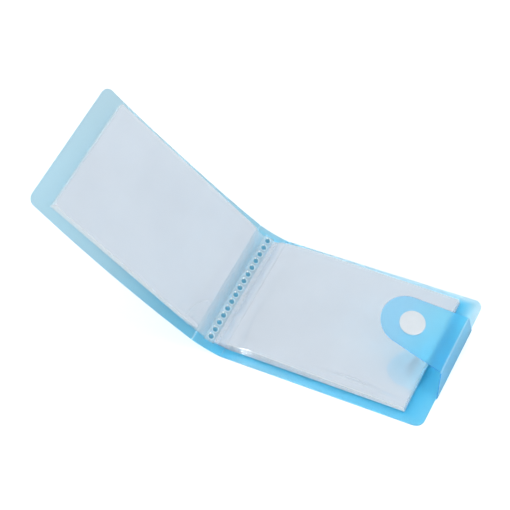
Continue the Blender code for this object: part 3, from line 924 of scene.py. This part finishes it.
class ALBUM_OT_leaves(bpy.types.Operator):
    """Build the pocket leaves of both sides"""

    bl_idname = "album.leaves"
    bl_label = "Pocket Leaves"

    def execute(self, context):
        film = context.scene.album_film
        trimmed = {"roughness": 0.2, "index": 1.5, "mirror": 0.0}
        # Trimmed edges, near-white and nearly opaque: painted light for the glow along a film's cut edges.
        edge = clear_film("film_edge_painted_glow", film.painted_glint, film.edge_cover, **trimmed)
        top = (
            # Top and lower films thin their haze where marked: painted shade
            clear_film("top_film", film.haze, film.cover, thin=0.1),
            clear_film("top_seam", film.haze, film.cover),
            clear_film("top_edge", film.painted_glint, film.top_edge_cover, **trimmed),
        )
        lower = (
            clear_film("pocket_film", film.sealed, film.lower_cover, thin=0.1),
            clear_film("pocket_seam", film.sealed, film.lower_cover / 2),
            edge,
        )
        # Painted shade: the lowest right film is blue and keeps its whole haze against falling light, so the
        # cover under the stack's near edge shows a deep blue line.
        shaded = clear_film("lowest_film_painted_shade", film.shade, film.lowest_cover, share=1.0)
        stacks = {
            "left": [top] + [lower] * (LEAVES - 1),
            "right": [top] + [lower] * (LEAVES - 2) + [(shaded, shaded, edge)],
        }
        for side, stack in stacks.items():
            for number, films in enumerate(stack, 1):
                name = f"leaf_{side}_{number:02d}"
                piece = add_piece(f"{name}_pocket", leaf_mesh(film, side, number), films, SOFT_ANGLE)
                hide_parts(*[f"{name}_{part}" for part in ("back", "window", "seam")])
                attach(piece, f"{side}_leaf_{number:02d}")
        return {"FINISHED"}


# Forms of a weld: the crater round it, its dished top, the melted bead, and the white tip beside it, a
# painted highlight

CRATER_FOOT, CRATER_BANK, CRATER_DROP = 0.9, 0.8 * MM, 0.25 * MM
DISH_DROP, DISH_MIDDLE = 0.12 * MM, 0.16 * MM
BEAD_TUBE, BEAD_ASIDE, BEAD_DROP = 0.24 * MM, 0.4 * MM, 0.25 * MM
TIP_RADIUS, TIP_HEIGHT, TIP_FOOT, TIP_ASIDE = 0.4 * MM, 0.35 * MM, 0.2 * MM, 0.25 * MM


def strip_levels(cover, film):
    """Lower and upper face of the fused strip over the spine's middle plane."""
    low = cover.sheet / 2 + film.lift
    return low, low + film.strip


def weld_row(film):
    """Places of the welds along the spine."""
    span = STRIP_HALF - film.weld_margin - film.weld_radius
    return even(-span, span, film.welds - 1)


def weld_profiles(radius, base, top, high):
    """Profiles of a weld's blue dot, of the bead round it and of the white tip beside it, a painted
    highlight.
    """
    dot = [
        (0.0, base), (radius * 0.98, base), (radius, top - DISH_DROP), (radius * 0.94, top),
        (radius * 0.8, top), (radius * 0.45, top - DISH_DROP), (0.0, top - DISH_MIDDLE),
    ]
    bead = [
        (radius + BEAD_ASIDE + BEAD_TUBE * math.cos(turn), high - BEAD_DROP + BEAD_TUBE * math.sin(turn))
        for turn in even(0.0, 2 * math.pi, BEAD_STEPS)[:-1]
    ]
    dome = [
        (TIP_RADIUS * math.cos(turn), high + TIP_HEIGHT * math.sin(turn))
        for turn in even(0.0, math.pi / 2, TIP_STEPS)[:-1]
    ]
    return dot, bead, [(0.0, high - TIP_FOOT), *dome, (0.0, high + TIP_HEIGHT)]


def row_of(name, template, material, start, step, count):
    """Copies of a template in a straight row, built with geometry nodes and realised into one mesh."""
    group = bpy.data.node_groups.new(name, "GeometryNodeTree")
    group.interface.new_socket("Geometry", in_out="OUTPUT", socket_type="NodeSocketGeometry")
    values = {
        "Template": ("NodeSocketObject", template),
        "Material": ("NodeSocketMaterial", material),
        "Start": ("NodeSocketVector", start),
        "Step": ("NodeSocketVector", step),
        "Count": ("NodeSocketInt", count),
    }
    keys = {
        label: group.interface.new_socket(label, in_out="INPUT", socket_type=kind).identifier
        for label, (kind, value) in values.items()
    }
    given = group.nodes.new("NodeGroupInput")
    line = group.nodes.new("GeometryNodeMeshLine")
    line.mode = "OFFSET"
    info = group.nodes.new("GeometryNodeObjectInfo")
    copies = group.nodes.new("GeometryNodeInstanceOnPoints")
    realised = group.nodes.new("GeometryNodeRealizeInstances")
    painted = group.nodes.new("GeometryNodeSetMaterial")
    result = group.nodes.new("NodeGroupOutput")
    wires = (
        (given, "Template", info, "Object"),
        (given, "Count", line, "Count"),
        (given, "Start", line, "Start Location"),
        (given, "Step", line, "Offset"),
        (line, "Mesh", copies, "Points"),
        (info, "Geometry", copies, "Instance"),
        (copies, "Instances", realised, "Geometry"),
        (realised, "Geometry", painted, "Geometry"),
        (given, "Material", painted, "Material"),
        (painted, "Geometry", result, "Geometry"),
    )
    for source, output, target, socket in wires:
        group.links.new(source.outputs[output], target.inputs[socket])
    piece = add_piece(name, bmesh.new(), ())
    modifier = piece.modifiers.new(name, "NODES")
    modifier.node_group = group
    for label, (kind, value) in values.items():
        modifier[keys[label]] = value
    evaluated = piece.evaluated_get(bpy.context.evaluated_depsgraph_get())
    mesh = bpy.data.meshes.new_from_object(evaluated)
    piece.modifiers.clear()
    piece.data = mesh
    bpy.data.objects.remove(template)
    if len(mesh.polygons) == 0:
        raise RuntimeError(f"{name} came out empty")
    return piece


class ALBUM_OT_binding(bpy.types.Operator):
    """Build the fused film strip along the spine and its row of spot welds"""

    bl_idname = "album.binding"
    bl_label = "Binding"

    def execute(self, context):
        cover = context.scene.album_cover
        film = context.scene.album_film
        fused = clear_film("fused_film", film.fused, film.strip_cover, roughness=0.1, index=1.7, mirror=0.0)
        melted = clear_film("weld_bead", film.bead, film.bead_cover, roughness=0.08, mirror=0.0)
        # White tips beside the welds: a painted highlight where each weld sparkles
        painted_glint = clear_film("weld_painted_glint", film.painted_glint, film.tip_cover, roughness=0.1, index=1.5, mirror=0.0)
        blue = frosted_sheet("weld_blue", cover.weld_tint, transmission=0.15, roughness=0.2)
        spine = panel_paths(cover)["spine"]
        low, high = strip_levels(cover, film)
        middle = cover.spine_width / 2 + film.strip_shift
        row = weld_row(film)
        start = middle - film.strip_width / 2
        across = even(start, start + film.strip_width, STRIP_COLUMNS)
        top = high - film.recess
        floor = top - CRATER_DROP
        rings = []
        for y in even(-STRIP_HALF, STRIP_HALF, STRIP_STEPS):
            nearest = min(row, key=lambda weld: abs(weld - y))
            ring = [spine(s, low) + along_y(y) for s in (across[0], middle, across[-1])]
            for s in reversed(across):
                past = math.hypot(s - middle, y - nearest) - film.weld_radius * CRATER_FOOT
                crater = 1 - grade(past, 0.0, CRATER_BANK)
                ring.append(spine(s, high + (floor - high) * crater) + along_y(y))
            rings.append(ring)
        strip = add_piece("binding_strip_piece", loft(rings), (fused,), ROUND_ANGLE)
        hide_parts("binding_strip")
        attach(strip, "spine_body")

        seat = spine(middle)
        axis = (spine(middle, 1.0) - seat).normalized()
        first = seat + along_y(row[0])
        step = along_y(row[1] - row[0])
        dot, bead, tip = weld_profiles(film.weld_radius, cover.sheet / 2, top, high)
        sideways = (spine(middle + film.film) - spine(middle - film.film)).normalized()
        aside = (sideways + along_y(1.0)).normalized() * (film.weld_radius + TIP_ASIDE)
        origin = Vector((0.0, 0.0, 0.0))
        forms = {
            "weld_dots": (turned(dot, origin, axis, WELD_SIDES), blue, SOFT_ANGLE, "cover_sheet"),
            "weld_beads": (turned(bead, origin, axis, WELD_SIDES, True), melted, ROUND_ANGLE, "welded_film"),
            # Painted highlight
            "weld_tips": (turned(tip, aside, axis, TIP_SIDES), painted_glint, ROUND_ANGLE, "welded_film"),
        }
        for name, (bm, material, angle, slot) in forms.items():
            template = add_piece(f"{name}_template", bm, (), angle)
            piece = row_of(name, template, material, first, step, film.welds)
            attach(piece, "spine_body")
        return {"FINISHED"}


# Film roots

ROOT_CALM, ROOT_NEAR, ROOT_PULL = 0.10 * MM, 0.30 * MM, 0.4


def root_wave(side, t, y):
    """How far the loose film between strip and leaf buckles."""
    middle = math.sin(math.pi * t)
    if side == "left":
        return ROOT_CALM * middle * ripple(y, 9 * MM, 0.5)
    amount = ROOT_CALM + ROOT_NEAR * grade(y, 4 * MM, -18 * MM)
    return amount * middle * (0.65 * ripple(y, 2.4 * MM, 3 * t) + 0.35 * ripple(y, 1.3 * MM, 1.0))


class ALBUM_OT_roots(bpy.types.Operator):
    """Build the loose film between the fused strip and the leaves"""

    bl_idname = "album.roots"
    bl_label = "Film Roots"

    def execute(self, context):
        cover = context.scene.album_cover
        film = context.scene.album_film
        loose = {"index": 2.0, "mirror": 0.0}
        films = {
            "left": clear_film("left_root_film", film.root, film.root_cover, thin=0.05, **loose),
            "right": clear_film("right_root_film", film.haze, film.cover, thin=0.2, full=0.8, **loose),
        }
        spine = panel_paths(cover)["spine"]
        low, high = strip_levels(cover, film)
        half = film.film / 2
        middle = cover.spine_width / 2 + film.strip_shift
        steps = even(0.0, 1.0, ROOT_STEPS)
        ys = even(-LEAF_HALF, LEAF_HALF, ROOT_COLUMNS)
        sides = {
            "left": (middle + film.strip_width / 2, 1, "front_cover_body", "film_roots_left"),
            "right": (middle - film.strip_width / 2, -1, "back_cover_body", "film_roots_right"),
        }
        for side, (edge, outward, body, node) in sides.items():
            bm = bmesh.new()
            lead = (spine(edge + outward * film.film) - spine(edge)).normalized()
            for number in range(1, LEAVES + 1):
                root, along, upward, length = leaf_frame(side, number)
                level = low + half + (high - low - 2 * half) * (LEAVES - number) / (LEAVES - 1)
                a = spine(edge, level)
                d = root + upward * leaf_wave(side, number, 0.0, 0.0, length) - along * film.fold_gap
                reach = (d - a).length * ROOT_PULL
                rings = []
                for t in steps:
                    point, way = bend(a, a + lead * reach, d - along * reach, d, t)
                    up = Vector((way.z, 0.0, -way.x)) * outward
                    slack = [root_wave(side, t, y) for y in ys]
                    lower = [point + up * (w - half) + along_y(y) for y, w in zip(ys, slack)]
                    upper = [point + up * (w + half) + along_y(y) for y, w in zip(ys, slack)]
                    rings.append(lower + upper[::-1])
                loft(rings, into=bm, marks=steps)
            piece = add_piece(f"film_roots_{side}_piece", bm, (films[side],), SOFT_ANGLE)
            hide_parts(node)
            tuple(spine(edge))
            leaf_frame(side, 1)[0]
            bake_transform(piece)
        return {"FINISHED"}


# Stage: each lamp's place and size, the floor and the camera

KEY_LAMP = ((0.15, 0.15, 1.05), 0.5)
SPARKLE_LAMP = ((0.79, -0.13, 0.59), 0.12)
GLINT_LAMP = ((-0.58, -0.35, 0.74), 0.2)
FLOOR_SIZE, FLOOR_DROP = 4.0, 0.1 * MM
CAMERA_RIGHT = Vector((0.8624, 0.4610, -0.2091))
CAMERA_DOWN = Vector((0.2765, -0.7750, -0.5682))
SENSOR_WIDTH, NEAREST = 36.0, 0.01
FILM_LAYERS = 32
WHITE = (1.0, 1.0, 1.0, 1.0)


def eye_value(tree, seen, otherwise):
    """A value that is one thing to the camera and another to every other ray."""
    path = tree.nodes.new("ShaderNodeLightPath")
    return either(tree, path.outputs["Is Camera Ray"], seen, otherwise)


def add_lamp(name, place, size, power):
    """A round lamp that faces the origin."""
    light = bpy.data.lights.new(name, "AREA")
    light.shape = "DISK"
    light.size = size
    light.energy = power
    lamp = bpy.data.objects.new(name, light)
    lamp.location = place
    lamp.rotation_euler = (-lamp.location).to_track_quat("-Z", "Y").to_euler()
    bpy.context.scene.collection.objects.link(lamp)
    return lamp


class ALBUM_OT_stage(bpy.types.Operator):
    """Set up the floor, the soft light and the camera"""

    bl_idname = "album.stage"
    bl_label = "Stage"

    def execute(self, context):
        scene = context.scene
        stage = scene.album_stage
        scene.view_settings.view_transform = "Standard"
        scene.cycles.transparent_max_bounces = FILM_LAYERS

        bm = bmesh.new()
        bmesh.ops.create_grid(bm, x_segments=1, y_segments=1, size=FLOOR_SIZE)
        bmesh.ops.translate(bm, verts=bm.verts, vec=(0.0, 0.0, -FLOOR_DROP))
        floor_paint, tree, shader = new_material("floor_paint")
        give(shader, {"Base Color": (*stage.floor, 1.0), "Emission Color": WHITE})
        give(shader, {"Roughness": 0.9, "Specular IOR Level": 0.0})
        tree.links.new(eye_value(tree, stage.lighten, 0.0), shader.inputs["Emission Strength"])
        floor = add_piece("floor", bm, (floor_paint,))

        world = bpy.data.worlds.new("studio")
        scene.world = world
        world.use_nodes = True
        sky = world.node_tree.nodes["Background"]
        give(sky, {"Color": WHITE})
        world.node_tree.links.new(eye_value(world.node_tree, 1.0, stage.sky), sky.inputs["Strength"])

        key = add_lamp("key", *KEY_LAMP, stage.key)
        key.visible_glossy = False
        mirrored = (
            add_lamp("sparkle", *SPARKLE_LAMP, stage.sparkle),
            add_lamp("glint", *GLINT_LAMP, stage.glint),
        )
        for lamp in mirrored:
            lamp.visible_diffuse = False
            lamp.visible_transmission = False

        camera = bpy.data.cameras.new("photo_view")
        camera.lens = stage.lens
        camera.sensor_width = SENSOR_WIDTH
        camera.clip_start = NEAREST
        eye = bpy.data.objects.new("photo_view", camera)
        backward = -CAMERA_RIGHT.cross(CAMERA_DOWN).normalized()
        turn = Matrix((CAMERA_RIGHT, -CAMERA_DOWN, backward)).transposed()
        eye.matrix_world = Matrix.Translation(Vector(stage.eye)) @ turn.to_4x4()
        scene.collection.objects.link(eye)
        scene.camera = eye
        return {"FINISHED"}


class ALBUM_PT_panel(bpy.types.Panel):
    """Lists the steps that build the album"""

    bl_idname = "ALBUM_PT_panel"
    bl_label = "Card Album"
    bl_space_type = "VIEW_3D"
    bl_region_type = "UI"
    bl_category = "Album"

    def draw(self, context):
        for step in STEPS:
            self.layout.operator(step.bl_idname)


SETTINGS = {
    "album_cover": CoverSettings,
    "album_film": FilmSettings,
    "album_snap": SnapSettings,
    "album_stage": StageSettings,
}
STEPS = (
    ALBUM_OT_stage,
    ALBUM_OT_cover,
    ALBUM_OT_creases,
    ALBUM_OT_snap,
    ALBUM_OT_leaves,
    ALBUM_OT_binding,
    ALBUM_OT_roots,
)


def register():
    """Register the settings, steps and panel."""
    for name, group in SETTINGS.items():
        bpy.utils.register_class(group)
        setattr(bpy.types.Scene, name, PointerProperty(type=group))
    for step in STEPS:
        bpy.utils.register_class(step)
    bpy.utils.register_class(ALBUM_PT_panel)


def unregister():
    """Take everything out again."""
    bpy.utils.unregister_class(ALBUM_PT_panel)
    for step in reversed(STEPS):
        bpy.utils.unregister_class(step)
    for name, group in SETTINGS.items():
        delattr(bpy.types.Scene, name)
        bpy.utils.unregister_class(group)


def main():
    """Build every piece in order."""
    register()
    for old in list(bpy.data.objects):
        if old.type in {"LIGHT", "CAMERA"} or old.name == "Cube":
            bpy.data.objects.remove(old)
    for step in STEPS:
        group, name = step.bl_idname.split(".")
        getattr(getattr(bpy.ops, group), name)()


if __name__ == "__main__":
    main()
